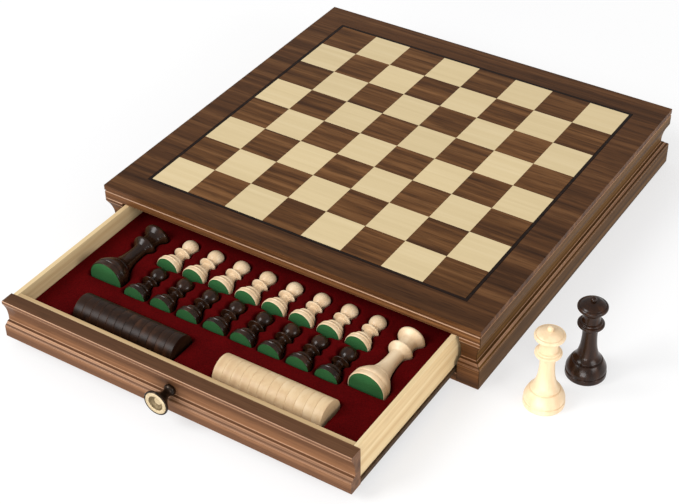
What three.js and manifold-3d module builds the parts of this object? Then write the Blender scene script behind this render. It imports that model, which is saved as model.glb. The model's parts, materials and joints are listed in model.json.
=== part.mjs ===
// Chess set with board: a low case with a playing field on its top, a drawer that slides out of its
// front, a recessed insert in the drawer that holds the pieces lying down, and two queens standing
// beside the case. Millimetres, +Z up, +Y to the back. The origin is the middle of the case's underside.
import * as THREE from "three";
import { mergeVertices } from "three/addons/utils/BufferGeometryUtils.js";
import Module from "manifold-3d";

const wasm = await Module();
wasm.setup();

// ---- driving dimensions -------------------------------------------------------------------------
const GAP = 0.3; // between pieces that are glued, seated or mitred together

// playing surface
const SQUARE = 38;
const SQUARES_PER_SIDE = 8;
const INLAY_WIDTH = 3.1; // dark line round the field
const BORDER_WIDTH = 26.2; // from the inlay to the edge of the top
const VENEER = 0.6; // thickness of the field and of the inlay
const TOP_THICKNESS = 4.7;

// case
const WALL = 14; // from the face of the fascia to the inside of the case
const RAIL_HEIGHT = 6.8; // fascia above the drawer
const GROOVE_HEIGHT = 1.2; // shadow line between the fascia and the top
const GROOVE_DEPTH = 1;
const BOTTOM_RAIL_HEIGHT = 8.6;
const CASE_FLOOR = 3;

// moulding, measured from the face of the fascia
const PLINTH_PROUD = 1.1;
const PLINTH_HEIGHT = 19.9;
const LEDGE_RISE = 1.9;
const BEAD_DEPTH = 3.1;
const BEAD_HEIGHT = 1.4;
const COVE_DEPTH = 4.5;
const COVE_FLAT = 3.2;
const FASCIA_FOOT = 3.4; // straight stretch between the top of the cove and the rail
const COVE_STEPS = 6;

// drawer
const DRAWER_OPEN = 151; // how far the drawer stands open
const STILE_WIDTH = 18.2; // from the drawer opening to the corner of the case
const OPENING_CLEARANCE = 1; // each side of the drawer front
const SIDE_INSET = 2; // drawer side in from the end of the drawer front
const FLOOR_INSET = 0.4; // drawer floor in from the same end
const SLIDE_GAP = 0.5; // under the drawer
const RAIL_GAP = 0.5; // over the drawer
const FRONT_THICKNESS = 11.6;
const BOARD = 3.8; // sides, back and inner front
const DRAWER_FLOOR = 3.9;
const FLOOR_SEAT = 1.8; // what is left of the drawer floor under the insert
const BACK_CLEARANCE = 1.5; // behind the closed drawer
const RUNNER_WIDTH = 17;
const GUIDE_HEIGHT = 12;

// insert
const INSERT_CLEARANCE = 0.4;
const RECESS_CLEARANCE = 0.5;
const PIECE_FLOOR_GAP = 0.5; // under the widest piece
const PASS_CLEARANCE = 1.1; // widest piece under the rail
const BIG_SINK = 0.7; // axes of the queens and kings below the face of the insert
const LIGHT_SINK = 2.4; // axes of the smaller light and dark men below that face
const DARK_SINK = 2.8;
const STACK_SINK = 3.2; // axis of a stack of draughts below that face

// knob
const KNOB_RADIUS = 10.8;
const KNOB_REACH = 19.6; // from the cove to the knob's rim
const KNOB_NECK = 3.4;
const KNOB_FOOT = 5;
const KNOB_DISH = 3.4; // depth of the dished face
const KNOB_BOWL = 6; // radius of the dish
const KNOB_RIM = 1; // dark rim round the face
const KNOB_RISE = 4.4; // axis of the knob above the foot of the cove
const FACE_RING = 1.6; // thickness of the ring round the dish
const SCREW_RADIUS = 1.6;
const SCREW_HEAD = 3.4;

// turned pieces: height and radii
const PAWN = { height: 39.3, base: 10.8, waist: 3.4, collar: 7.7, head: 7.2 };
const QUEEN = { height: 76, base: 16.2, waist: 5.7, collar: 10.4, neck: 6.6, head: 11.7 };
const KING = { height: 82, base: 16.2, waist: 6.1, collar: 10.8, neck: 6.8, head: 10.9, cross: 9 };
const BISHOP = { height: 62, base: 13.2, waist: 4.6, collar: 8.8, neck: 5.2, head: 7.4, cut: 1.6 };
const KNIGHT = { height: 54, base: 13.6, pedestal: 17, thickness: 13, reach: 13 };
const ROOK = { height: 46, base: 13.8, waist: 7.6, collar: 9.6, head: 10.6, wall: 3.2, notch: 3.4 };
const DRAUGHT = { radius: 14, stack: 97.2 };
const FACETS = 12; // sides of a turned piece
const FINIAL = 2.7;

// queens that stand beside the case: place of each axis from the right front corner of the plinth
const LIGHT_QUEEN_PLACE = { right: 48.4, back: 15.2 };
const DARK_QUEEN_PLACE = { right: 61, back: 62.2 };

// ---- worked-out sizes ---------------------------------------------------------------------------
const fieldHalf = (SQUARE * SQUARES_PER_SIDE) / 2;
const faceHalf = fieldHalf + INLAY_WIDTH + BORDER_WIDTH; // face of the fascia and edge of the top
const insideHalf = faceHalf - WALL;
const frontHalf = faceHalf - STILE_WIDTH - OPENING_CLEARANCE;
const sideOuter = frontHalf - SIDE_INSET;
const sideInner = sideOuter - BOARD;
const floorOuter = frontHalf - FLOOR_INSET;

const widestRadius = Math.max(QUEEN.base, KING.base);
const drawerBottom = BOTTOM_RAIL_HEIGHT + SLIDE_GAP;
const insertBottom = drawerBottom + FLOOR_SEAT + GAP;
const bigAxis = drawerBottom + FLOOR_SEAT + PIECE_FLOOR_GAP + widestRadius;
const insertTop = bigAxis + BIG_SINK;
const railBottom = bigAxis + widestRadius + PASS_CLEARANCE;
const drawerTop = railBottom - RAIL_GAP;
const fasciaTop = railBottom + RAIL_HEIGHT;
const topUnderside = fasciaTop + GROOVE_HEIGHT;
const topFace = topUnderside + TOP_THICKNESS;

const coveTop = railBottom - FASCIA_FOOT;
const beadBottom = PLINTH_HEIGHT + LEDGE_RISE;
const coveBottom = beadBottom + BEAD_HEIGHT;
const coveCurveBottom = coveBottom + COVE_FLAT;

const fasciaY = -faceHalf - DRAWER_OPEN; // face of the open drawer's front
const frontBack = fasciaY + FRONT_THICKNESS;
const drawerInsideFront = frontBack + BOARD;
const drawerBack = insideHalf - BACK_CLEARANCE - DRAWER_OPEN;
const drawerInsideBack = drawerBack - BOARD;
const knobZ = coveBottom + KNOB_RISE;

// ---- materials ----------------------------------------------------------------------------------
const finish = (color, roughness, metalness = 0) =>
  new THREE.MeshStandardMaterial({ color, roughness, metalness });
const walnut = finish(0x6b452c, 0.45);
const fieldWood = finish(0xa58a63, 0.4);
const inlayWood = finish(0x2c170d, 0.45);
const drawerWood = finish(0xd2b27c, 0.55);
const panelWood = finish(0x5a4630, 0.7);
const velvet = finish(0x5c070b, 0.95);
const lightWood = finish(0xe9cd9f, 0.4);
const darkWood = finish(0x33241c, 0.3);
const bronze = finish(0x2d2117, 0.35, 0.8);
const brass = finish(0xcbb892, 0.35, 0.7);
const steel = finish(0x9a9a98, 0.35, 0.9);

// ---- shape helpers ------------------------------------------------------------------------------
const set = new THREE.Group();

function add(name, geometry, material) {
  const mesh = new THREE.Mesh(geometry, material);
  mesh.name = name;
  set.add(mesh);
  return mesh;
}

function box(x0, x1, y0, y1, z0, z1) {
  const geometry = new THREE.BoxGeometry(x1 - x0, y1 - y0, z1 - z0);
  geometry.translate((x0 + x1) / 2, (y0 + y1) / 2, (z0 + z1) / 2);
  return geometry;
}

function bare(geometry) {
  const copy = new THREE.BufferGeometry();
  copy.setAttribute("position", geometry.getAttribute("position").clone());
  if (geometry.index) copy.setIndex(geometry.index.clone());
  return mergeVertices(copy, 1e-4);
}

function solid(geometry) {
  const merged = bare(geometry);
  return new wasm.Manifold(
    new wasm.Mesh({
      numProp: 3,
      vertProperties: merged.getAttribute("position").array,
      triVerts: new Uint32Array(merged.index.array),
    }),
  );
}

function geometryOf(manifold) {
  const mesh = manifold.getMesh();
  const geometry = new THREE.BufferGeometry();
  geometry.setAttribute("position", new THREE.BufferAttribute(mesh.vertProperties, 3));
  geometry.setIndex(new THREE.BufferAttribute(mesh.triVerts, 1));
  geometry.computeVertexNormals();
  return geometry;
}

function cut(geometry, ...cutters) {
  const result = cutters.reduce((whole, cutter) => whole.subtract(solid(cutter)), solid(geometry));
  return geometryOf(result);
}

function join(...geometries) {
  const [first, ...others] = geometries.map(solid);
  return geometryOf(others.reduce((whole, other) => whole.add(other), first));
}

// A round solid about +Z, from [radius, height] pairs that run from the bottom to the top.
function turned(profile, facets = FACETS) {
  const points = profile.map(([radius, height]) => new THREE.Vector2(radius, height));
  const geometry = new THREE.LatheGeometry(points, facets);
  geometry.rotateX(Math.PI / 2);
  return geometry;
}

// Starting places of things in a row between two walls: the space left over is shared between the
// gaps, one before each thing and one after the last, in the proportions of shares.
function spread(from, to, sizes, shares) {
  const total = (list) => list.reduce((sum, value) => sum + value, 0);
  const unit = (to - from - total(sizes)) / total(shares);
  let place = from;
  return sizes.map((size, i) => {
    place += unit * shares[i];
    const start = place;
    place += size;
    return start;
  });
}

// ---- moulding -----------------------------------------------------------------------------------
// Outer line of the moulding as [outward, height] pairs, from low to high.
function mouldingLine(low, high) {
  const line = [
    [PLINTH_PROUD, low],
    [PLINTH_PROUD, PLINTH_HEIGHT],
    [PLINTH_PROUD - BEAD_DEPTH, beadBottom],
    [PLINTH_PROUD - BEAD_DEPTH, coveBottom - BEAD_HEIGHT / 2],
    [-COVE_DEPTH, coveBottom],
  ];
  const rise = coveTop - coveCurveBottom;
  const radius = (rise * rise + COVE_DEPTH * COVE_DEPTH) / (2 * COVE_DEPTH);
  const sweep = Math.asin(rise / radius);
  for (let i = 0; i <= COVE_STEPS; i++) {
    const angle = (sweep * i) / COVE_STEPS;
    line.push([radius * (1 - Math.cos(angle)) - COVE_DEPTH, coveCurveBottom + radius * Math.sin(angle)]);
  }
  line.push([0, high]);
  return line;
}

// Closes a moulding line with the flat back of the board, depth behind the fascia's face.
function mouldingSection(line, depth) {
  return [...line, [-depth, line[line.length - 1][1]], [-depth, line[0][1]]];
}

const wallTop = [
  [-GROOVE_DEPTH, fasciaTop],
  [-GROOVE_DEPTH, topUnderside - GAP],
];

// A bar with the given [outward, height] section along the front of the case, its outward side
// towards -Y. An end is a function of the outward distance, so that it is square or mitred.
function bar(section, leftEnd, rightEnd) {
  const shape = new THREE.Shape(section.map(([outward, height]) => new THREE.Vector2(outward, height)));
  const geometry = new THREE.ExtrudeGeometry(shape, { depth: 1, bevelEnabled: false, steps: 1 });
  const position = geometry.getAttribute("position");
  for (let i = 0; i < position.count; i++) {
    const outward = position.getX(i);
    const height = position.getY(i);
    const along = position.getZ(i) > 0.5 ? leftEnd(outward) : rightEnd(outward);
    position.setXYZ(i, along, -faceHalf - outward, height);
  }
  return geometry;
}

const mitre = (outward) => faceHalf + outward - GAP;
const square = (place) => () => place;

// ---- case ---------------------------------------------------------------------------------------
function addTop() {
  const seatHalf = fieldHalf + INLAY_WIDTH;
  const panel = box(-faceHalf, faceHalf, -faceHalf, faceHalf, topUnderside, topFace);
  const seatFloor = topFace - VENEER - GAP;
  add("top_panel", cut(panel, box(-seatHalf, seatHalf, -seatHalf, seatHalf, seatFloor, topFace + 1)), walnut);

  const veneerBottom = topFace - VENEER;
  const field = box(-fieldHalf, fieldHalf, -fieldHalf, fieldHalf, veneerBottom, topFace);
  add("playing_field", field, fieldWood);

  const inner = fieldHalf + GAP;
  const outer = seatHalf - GAP;
  const ring = box(-outer, outer, -outer, outer, veneerBottom, topFace);
  add("inlay_line", cut(ring, box(-inner, inner, -inner, inner, veneerBottom - 1, topFace + 1)), inlayWood);
}

function addWalls() {
  const section = mouldingSection([...mouldingLine(0, fasciaTop), ...wallTop], WALL);
  const turns = { left_wall: -Math.PI / 2, back_wall: Math.PI, right_wall: Math.PI / 2 };
  for (const [name, turn] of Object.entries(turns)) {
    const geometry = bar(section, (outward) => -mitre(outward), mitre);
    geometry.rotateZ(turn);
    add(name, geometry, walnut);
  }
}

function addFrontFrame() {
  const rail = mouldingSection([[0, railBottom], [0, fasciaTop], ...wallTop], WALL);
  add("front_top_rail", bar(rail, (outward) => -mitre(outward), mitre), walnut);

  const stile = mouldingSection(mouldingLine(0, railBottom - GAP), WALL);
  const opening = faceHalf - STILE_WIDTH;
  add("right_front_stile", bar(stile, square(opening), mitre), walnut);
  add("left_front_stile", bar(stile, (outward) => -mitre(outward), square(-opening)), walnut);

  const bottomLine = [[PLINTH_PROUD, 0], [PLINTH_PROUD, BOTTOM_RAIL_HEIGHT]];
  const railEnd = opening - GAP;
  const bottomRail = bar(mouldingSection(bottomLine, WALL), square(-railEnd), square(railEnd));
  add("front_bottom_rail", bottomRail, walnut);
}

function addCaseFloor() {
  const half = insideHalf - GAP;
  add("case_bottom_panel", box(-half, half, -half, half, 0, CASE_FLOOR), panelWood);
}

// L-shaped strips: the drawer's sides slide on the low leg and beside the tall one.
function addRunners() {
  const outer = insideHalf - GAP;
  const inner = outer - RUNNER_WIDTH;
  const guideFace = floorOuter + OPENING_CLEARANCE;
  const low = CASE_FLOOR + GAP;
  const slideTop = drawerBottom - GAP;
  const section = [
    [inner, low],
    [outer, low],
    [outer, slideTop + GUIDE_HEIGHT],
    [guideFace, slideTop + GUIDE_HEIGHT],
    [guideFace, slideTop],
    [inner, slideTop],
  ];
  for (const [name, side] of [["right_runner", 1], ["left_runner", -1]]) {
    const points = section.map(([x, z]) => new THREE.Vector2(side * x, z));
    const shape = new THREE.Shape(points);
    const length = 2 * (insideHalf - GAP);
    const geometry = new THREE.ExtrudeGeometry(shape, { depth: length, bevelEnabled: false, steps: 1 });
    geometry.rotateX(Math.PI / 2);
    geometry.translate(0, insideHalf - GAP, 0);
    add(name, geometry, drawerWood);
  }
}

// ---- drawer -------------------------------------------------------------------------------------
// A round cutter or rod about the knob's axis, from [radius, distance] pairs towards the front.
function alongKnob(profile, facets = FACETS) {
  const geometry = turned(profile, facets);
  geometry.rotateX(Math.PI / 2);
  return geometry.translate(0, 0, knobZ);
}

// A pair list for a plain round rod.
const rod = (radius, from, to) => [[0, from], [radius, from], [radius, to], [0, to]];

function addDrawerBoards() {
  const coveFace = -(fasciaY + COVE_DEPTH);
  const holeRadius = SCREW_RADIUS + GAP;
  const hole = alongKnob(rod(holeRadius, -drawerInsideFront - 1, coveFace + 1));
  const footSeat = alongKnob(rod(KNOB_FOOT + GAP, coveFace - GAP, -fasciaY + 1), 2 * FACETS);
  const headSeat = alongKnob(rod(SCREW_HEAD + GAP, -drawerInsideFront - 1, -drawerInsideFront + 2));

  const section = mouldingSection(mouldingLine(drawerBottom, drawerTop), FRONT_THICKNESS);
  const front = bar(section, square(-frontHalf), square(frontHalf));
  front.translate(0, -DRAWER_OPEN, 0);
  add("drawer_front", cut(front, hole, footSeat), walnut);

  const low = drawerBottom + DRAWER_FLOOR + GAP;
  const behind = frontBack + GAP;
  const innerFront = box(-sideInner + GAP, sideInner - GAP, behind, drawerInsideFront, low, drawerTop);
  add("drawer_inner_front", cut(innerFront, hole, headSeat), drawerWood);
  add("drawer_right_side", box(sideInner, sideOuter, behind, drawerBack, low, drawerTop), drawerWood);
  add("drawer_left_side", box(-sideOuter, -sideInner, behind, drawerBack, low, drawerTop), drawerWood);
  const back = box(-sideInner + GAP, sideInner - GAP, drawerInsideBack, drawerBack, low, drawerTop);
  add("drawer_back", back, drawerWood);

  const floorTop = drawerBottom + DRAWER_FLOOR;
  const seat = box(
    -sideInner, sideInner, drawerInsideFront, drawerInsideBack, drawerBottom + FLOOR_SEAT, floorTop + 1,
  );
  const floor = box(-floorOuter, floorOuter, behind, drawerBack, drawerBottom, floorTop);
  add("drawer_bottom", cut(floor, seat), panelWood);
}

function addKnob() {
  const foot = -(fasciaY + COVE_DEPTH);
  const rim = foot + KNOB_REACH;
  const faceRadius = KNOB_RADIUS - KNOB_RIM;
  const bowlSeat = rim - KNOB_DISH - KNOB_RIM;
  const bodyProfile = [
    [0, foot],
    [KNOB_FOOT, foot],
    [KNOB_FOOT, foot + 2],
    [KNOB_NECK, foot + 3.5],
    [KNOB_NECK, foot + KNOB_REACH * 0.45],
    [KNOB_RADIUS * 0.75, rim - 4],
    [KNOB_RADIUS, rim - 1.6],
    [KNOB_RADIUS, rim],
    [faceRadius, rim],
    [faceRadius, rim - FACE_RING - GAP],
    [KNOB_BOWL + KNOB_RIM, bowlSeat],
    [0, bowlSeat],
  ];
  const screwHole = alongKnob(rod(SCREW_RADIUS + GAP, foot - 1, foot + KNOB_REACH / 2));
  add("drawer_knob", cut(alongKnob(bodyProfile, 2 * FACETS), screwHole), bronze);

  const faceRim = faceRadius - GAP;
  const faceProfile = [
    [0, bowlSeat + GAP],
    [KNOB_BOWL + KNOB_RIM - GAP, bowlSeat + GAP],
    [faceRim, rim - FACE_RING],
    [faceRim, rim],
    [KNOB_BOWL + KNOB_RIM, rim],
    [KNOB_BOWL, rim - KNOB_DISH * 0.45],
    [KNOB_BOWL * 0.6, rim - KNOB_DISH * 0.85],
    [0, rim - KNOB_DISH],
  ];
  add("knob_face", alongKnob(faceProfile, 2 * FACETS), brass);

  const headTop = -drawerInsideFront + GAP;
  const screwProfile = [
    [0, headTop],
    [SCREW_HEAD, headTop],
    [SCREW_HEAD, headTop + 1.2],
    [SCREW_RADIUS, headTop + 1.2],
    [SCREW_RADIUS, foot + KNOB_REACH / 2 - GAP],
    [0, foot + KNOB_REACH / 2 - GAP],
  ];
  add("knob_screw", alongKnob(screwProfile), steel);
}

// ---- turned pieces ------------------------------------------------------------------------------
// The foot that every piece stands on, up to the height where the base starts to draw in.
const foot = (base, band) => [
  [0, 0],
  [base - 0.8, 0],
  [base, 1],
  [base, band],
];

// Points of a round head of the given radius, whose top is at height, from the neck radius up.
function roundHead(radius, height, neck, steps = 5) {
  const start = Math.acos(neck / radius);
  const points = [];
  for (let i = 0; i <= steps; i++) {
    const angle = -start + ((start + Math.PI / 2) * i) / steps;
    points.push([i === steps ? 0 : radius * Math.cos(angle), height - radius + radius * Math.sin(angle)]);
  }
  return points;
}

function pawnProfile({ height, base, waist, collar, head }) {
  return [
    ...foot(base, 0.1 * height),
    [base * 0.84, 0.21 * height],
    [base * 0.54, 0.34 * height],
    [waist, 0.46 * height],
    [waist, 0.51 * height],
    [collar, 0.52 * height],
    [collar, 0.55 * height],
    ...roundHead(head, height, collar * 0.55),
  ];
}

// Base, shoulder and stem that the taller pieces share, up to the underside of the collar.
function stemProfile({ height, base, waist, collar }) {
  return [
    ...foot(base, 0.07 * height),
    [base * 0.97, 0.11 * height],
    [base * 0.86, 0.17 * height],
    [base * 0.67, 0.22 * height],
    [base * 0.65, 0.25 * height],
    [base * 0.52, 0.27 * height],
    [waist * 1.2, 0.37 * height],
    [waist, 0.48 * height],
    [waist * 1.05, 0.58 * height],
    [collar, 0.65 * height],
    [collar, 0.675 * height],
  ];
}

function queenProfile(size) {
  const { height, collar, neck, head } = size;
  return [
    ...stemProfile(size),
    [collar * 0.84, 0.71 * height],
    [neck, 0.74 * height],
    [neck * 1.12, 0.79 * height],
    [head, 0.875 * height],
    [head, 0.905 * height],
    [head * 0.86, 0.93 * height],
    [FINIAL * 0.8, 0.955 * height],
    [FINIAL, height - FINIAL * 0.9],
    [0, height],
  ];
}

function kingGeometry(size) {
  const { height, collar, neck, head, cross } = size;
  const top = height - cross;
  const body = turned([
    ...stemProfile({ ...size, height: top }),
    [collar * 0.84, 0.71 * top],
    [neck, 0.74 * top],
    [neck * 1.1, 0.79 * top],
    [head, 0.93 * top],
    [head * 0.9, 0.955 * top],
    [FINIAL, top],
    [0, top],
  ]);
  const arm = cross * 0.36;
  const half = cross * 0.15;
  const middle = top + cross * 0.58;
  return join(
    body,
    box(-half, half, -half, half, top - 2, height),
    box(-arm, arm, -half * 0.99, half * 0.99, middle - half, middle + half),
  );
}

function bishopGeometry(size) {
  const { height, collar, neck, head, cut: slot } = size;
  const body = turned([
    ...stemProfile(size),
    [collar * 0.8, 0.7 * height],
    [neck, 0.72 * height],
    [head, 0.8 * height],
    [head * 0.93, 0.87 * height],
    [head * 0.35, 0.95 * height],
    [FINIAL * 0.9, 0.965 * height],
    [0, height],
  ]);
  const blade = box(0, 2 * head, -2 * head, 2 * head, -slot / 2, slot / 2);
  blade.rotateY(-Math.PI / 4);
  blade.translate(head * 0.15, 0, 0.83 * height);
  return cut(body, blade);
}

function rookGeometry(size) {
  const { height, base, waist, collar, head, wall, notch } = size;
  const body = turned([
    ...foot(base, 0.1 * height),
    [base * 0.93, 0.2 * height],
    [base * 0.7, 0.3 * height],
    [waist, 0.45 * height],
    [waist, 0.62 * height],
    [collar, 0.7 * height],
    [head, 0.76 * height],
    [head, height],
    [head - wall, height],
    [head - wall, 0.88 * height],
    [0, 0.88 * height],
  ]);
  const slots = [0, 1, 2].map((i) => {
    const slot = box(-2 * head, 2 * head, -notch / 2, notch / 2, 0.9 * height, height + 1);
    return slot.rotateZ((Math.PI * i) / 3);
  });
  return cut(body, ...slots);
}

// A horse's head cut from a board, facing +X, on a turned base.
function knightGeometry({ height, base, pedestal, thickness, reach }) {
  const rise = height - pedestal;
  const head = new THREE.Shape();
  const at = (x, z) => [x * reach, pedestal + z * rise];
  head.moveTo(...at(-0.72, -0.08));
  head.bezierCurveTo(...at(-0.95, 0.45), ...at(-0.6, 0.85), ...at(-0.12, 0.93));
  head.lineTo(...at(-0.02, 1));
  head.lineTo(...at(0.14, 0.9));
  head.quadraticCurveTo(...at(0.5, 0.8), ...at(0.95, 0.52));
  head.lineTo(...at(0.92, 0.38));
  head.lineTo(...at(0.6, 0.36));
  head.quadraticCurveTo(...at(0.25, 0.45), ...at(0.1, 0.38));
  head.quadraticCurveTo(...at(0.35, 0.18), ...at(0.62, -0.08));
  const slab = new THREE.ExtrudeGeometry(head, {
    depth: thickness, bevelEnabled: false, steps: 1, curveSegments: 4,
  });
  slab.translate(0, 0, -thickness / 2);
  slab.rotateX(Math.PI / 2);
  const pedestalTop = turned([
    ...foot(base, 0.09 * height),
    [base * 0.95, 0.13 * height],
    [base * 0.76, 0.22 * height],
    [base * 0.74, 0.26 * height],
    [base * 0.66, pedestal],
    [0, pedestal],
  ]);
  return join(pedestalTop, slab);
}

const makers = {
  pawn: { size: PAWN, make: () => turned(pawnProfile(PAWN)), half: PAWN.base },
  queen: { size: QUEEN, make: () => turned(queenProfile(QUEEN)), half: QUEEN.base },
  king: { size: KING, make: () => kingGeometry(KING), half: KING.base },
  bishop: { size: BISHOP, make: () => bishopGeometry(BISHOP), half: BISHOP.base },
  knight: { size: KNIGHT, make: () => knightGeometry(KNIGHT), half: Math.max(KNIGHT.base, KNIGHT.reach) },
  rook: { size: ROOK, make: () => rookGeometry(ROOK), half: ROOK.base },
};

// ---- recesses -----------------------------------------------------------------------------------
// Round cutters have flats, so their corners stand out far enough for the flats to clear the piece.
const RECESS_FACETS = 12;
const clear = (radius) => (radius + RECESS_CLEARANCE) / Math.cos(Math.PI / RECESS_FACETS);

function recessProfile(kind) {
  const { base, waist, collar, neck, head, cross = 0 } = kind.size;
  const end = kind.size.height + RECESS_CLEARANCE;
  const height = kind.size.height - cross;
  if (kind === makers.pawn) {
    return [
      [base, -RECESS_CLEARANCE],
      [base, 0.12 * height],
      [base * 0.56, 0.36 * height],
      [collar, 0.47 * height],
      [collar, 0.58 * height],
      [head, 0.66 * height],
      [head, end],
    ];
  }
  if (kind === makers.queen || kind === makers.king) {
    return [
      [base, -RECESS_CLEARANCE],
      [base, 0.13 * height],
      [base * 0.67, 0.27 * height],
      [waist * 1.25, 0.4 * height],
      [waist * 1.2, 0.55 * height],
      [collar, 0.6 * height],
      [Math.max(neck * 1.2, collar * 0.9), 0.75 * height],
      [head, 0.82 * height],
      [head, end],
    ];
  }
  return [
    [kind.half, -RECESS_CLEARANCE],
    [kind.half, end],
  ];
}

// Lays a standing shape down, its head towards the back of the drawer or, turned round, the front.
function lay(geometry, headToFront) {
  return geometry.rotateX(headToFront ? Math.PI / 2 : -Math.PI / 2);
}

// The cutters of one recess: the piece's outline with clearance, lying where the piece lies, and
// upright walls from its axis to above the insert, so that the piece lifts straight out.
function recessCutters({ kind, x, y, z, headToFront }) {
  const outline = recessProfile(kind).map(([radius, height]) => [clear(radius), height]);
  const profile = [[0, outline[0][1]], ...outline, [0, outline[outline.length - 1][1]]];
  const round = turned(profile, RECESS_FACETS);
  round.rotateZ(Math.PI / RECESS_FACETS);

  const right = outline.map(([radius, height]) => new THREE.Vector2(radius, height));
  const left = outline.map(([radius, height]) => new THREE.Vector2(-radius, height)).reverse();
  const depth = insertTop + 1 - z;
  const upright = new THREE.ExtrudeGeometry(new THREE.Shape([...right, ...left]), {
    depth, bevelEnabled: false, steps: 1,
  });
  if (headToFront) upright.rotateZ(Math.PI);
  return [lay(round, headToFront).translate(x, y, z), upright.translate(x, y, z)];
}

function stackGeometry(radius, length, extra = 0) {
  const geometry = turned(rod(radius, -extra, length + extra), 2 * FACETS);
  geometry.rotateZ(Math.PI / (2 * FACETS));
  return geometry.rotateY(Math.PI / 2);
}

// ---- places in the drawer -----------------------------------------------------------------------
const insideWidth = 2 * sideInner;
const range = (count) => Array.from({ length: count }, (_, i) => i);
const PAWNS = 8;

// Across the drawer: a queen, eight pawns, a queen.
const frontKinds = [makers.queen, ...range(PAWNS).map(() => makers.pawn), makers.queen];
const frontShares = [3.4, 1.26, ...range(PAWNS - 1).map(() => 1), 1.26, 3.4];
const frontStarts = spread(-sideInner, sideInner, frontKinds.map((kind) => 2 * kind.half), frontShares);
const frontX = frontStarts.map((start, i) => start + frontKinds[i].half);

// Across the back rows. The recess of the queen is empty: that queen stands beside the case.
const backNames = ["rook", "knight", "bishop", "queen", "king", "bishop", "knight", "rook"];
const backKinds = backNames.map((name) => makers[name]);
const backShares = range(backNames.length + 1).map(() => 1);
const backStarts = spread(-sideInner, sideInner, backKinds.map((kind) => 2 * kind.half), backShares);
const backX = backStarts.map((start, i) => start + backKinds[i].half);

// From front to back: draughts, dark pawns, light pawns and two back rows whose heads meet, so that
// the king of each lies against the queen of the other.
const rowDepths = [2 * DRAUGHT.radius, PAWN.height, PAWN.height, KING.height, QUEEN.height];
const rowShares = [13.9, 17.7, 3.9, 16.2, 5.3, 6.3];
const [stackStart, darkPawnY, lightPawnY, darkBackY, lightRowStart] = spread(
  drawerInsideFront, drawerInsideBack, rowDepths, rowShares,
);
const lightBackY = lightRowStart + QUEEN.height;
const stackY = stackStart + DRAUGHT.radius;
const stackEnd = stackY + DRAUGHT.radius;
const [queenY] = spread(stackEnd, darkBackY, [QUEEN.height], [22, 18.4]);
const smallAxis = { light: insertTop - LIGHT_SINK, dark: insertTop - DARK_SINK };
const stackZ = insertTop - STACK_SINK;
const [darkStackX, lightStackX] = spread(-sideInner, sideInner, [DRAUGHT.stack, DRAUGHT.stack], [38.9, 39, 40.3]);

const lying = [
  { name: "dark_queen_spare", kind: makers.queen, x: frontX[0], y: queenY, z: bigAxis, wood: darkWood },
  { name: "light_queen_spare", kind: makers.queen, x: frontX[PAWNS + 1], y: queenY, z: bigAxis, wood: lightWood },
];
const pawnRows = [
  { tone: "dark", y: darkPawnY, wood: darkWood },
  { tone: "light", y: lightPawnY, wood: lightWood },
];
for (const { tone, y, wood } of pawnRows) {
  for (const i of range(PAWNS)) {
    const name = `${tone}_pawn_${i + 1}`;
    lying.push({ name, kind: makers.pawn, x: frontX[i + 1], y, z: smallAxis[tone], wood });
  }
}
const emptyRecesses = [];
const backRows = [
  { tone: "dark", y: darkBackY, side: 1, wood: darkWood },
  { tone: "light", y: lightBackY, side: -1, wood: lightWood },
];
for (const { tone, y, side, wood } of backRows) {
  backNames.forEach((name, i) => {
    const big = name === "queen" || name === "king";
    const x = side * backX[i];
    const z = big ? bigAxis : smallAxis[tone];
    const place = { kind: backKinds[i], x, y, z, headToFront: side < 0 };
    if (name === "queen") {
      emptyRecesses.push(place);
      return;
    }
    const hand = x < 0 ? "_left" : "_right";
    lying.push({ ...place, name: `${tone}_${name}${big ? "" : hand}`, wood });
  });
}

const stacks = [
  { name: "dark_draughts", x: darkStackX, wood: darkWood },
  { name: "light_draughts", x: lightStackX, wood: lightWood },
];

function addInsert() {
  const half = sideInner - INSERT_CLEARANCE;
  const low = drawerInsideFront + INSERT_CLEARANCE;
  const high = drawerInsideBack - INSERT_CLEARANCE;
  const block = box(-half, half, low, high, insertBottom, insertTop);
  const recesses = [...lying, ...emptyRecesses].flatMap(recessCutters);
  const stackRadius = (DRAUGHT.radius + RECESS_CLEARANCE) / Math.cos(Math.PI / (2 * FACETS));
  for (const stack of stacks) {
    const round = stackGeometry(stackRadius, DRAUGHT.stack, RECESS_CLEARANCE);
    recesses.push(round.translate(stack.x, stackY, stackZ));
    const width = DRAUGHT.radius + RECESS_CLEARANCE;
    recesses.push(
      box(
        stack.x - RECESS_CLEARANCE, stack.x + DRAUGHT.stack + RECESS_CLEARANCE,
        stackY - width, stackY + width, stackZ, insertTop + 1,
      ),
    );
  }
  add("insert", cut(block, ...recesses), velvet);
}

function addPieces() {
  for (const piece of lying) {
    const geometry = lay(piece.kind.make(), piece.headToFront);
    add(piece.name, geometry, piece.wood).position.set(piece.x, piece.y, piece.z);
  }
  for (const stack of stacks) {
    add(stack.name, stackGeometry(DRAUGHT.radius, DRAUGHT.stack), stack.wood).position.set(
      stack.x, stackY, stackZ,
    );
  }
  const corner = faceHalf + PLINTH_PROUD;
  const standing = [
    ["light_queen", LIGHT_QUEEN_PLACE, lightWood],
    ["dark_queen", DARK_QUEEN_PLACE, darkWood],
  ];
  for (const [name, place, wood] of standing) {
    add(name, makers.queen.make(), wood).position.set(corner + place.right, place.back - corner, 0);
  }
}

addTop();
addWalls();
addFrontFrame();
addCaseFloor();
addRunners();
addDrawerBoards();
addKnob();
addInsert();
addPieces();

export default set;
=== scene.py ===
"""Chess set with board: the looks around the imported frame. Metres, +Z up, -Y out of the drawer's front."""

import json
import math

import bmesh
import bpy
import numpy as np
from mathutils import Matrix, Quaternion, Vector

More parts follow.
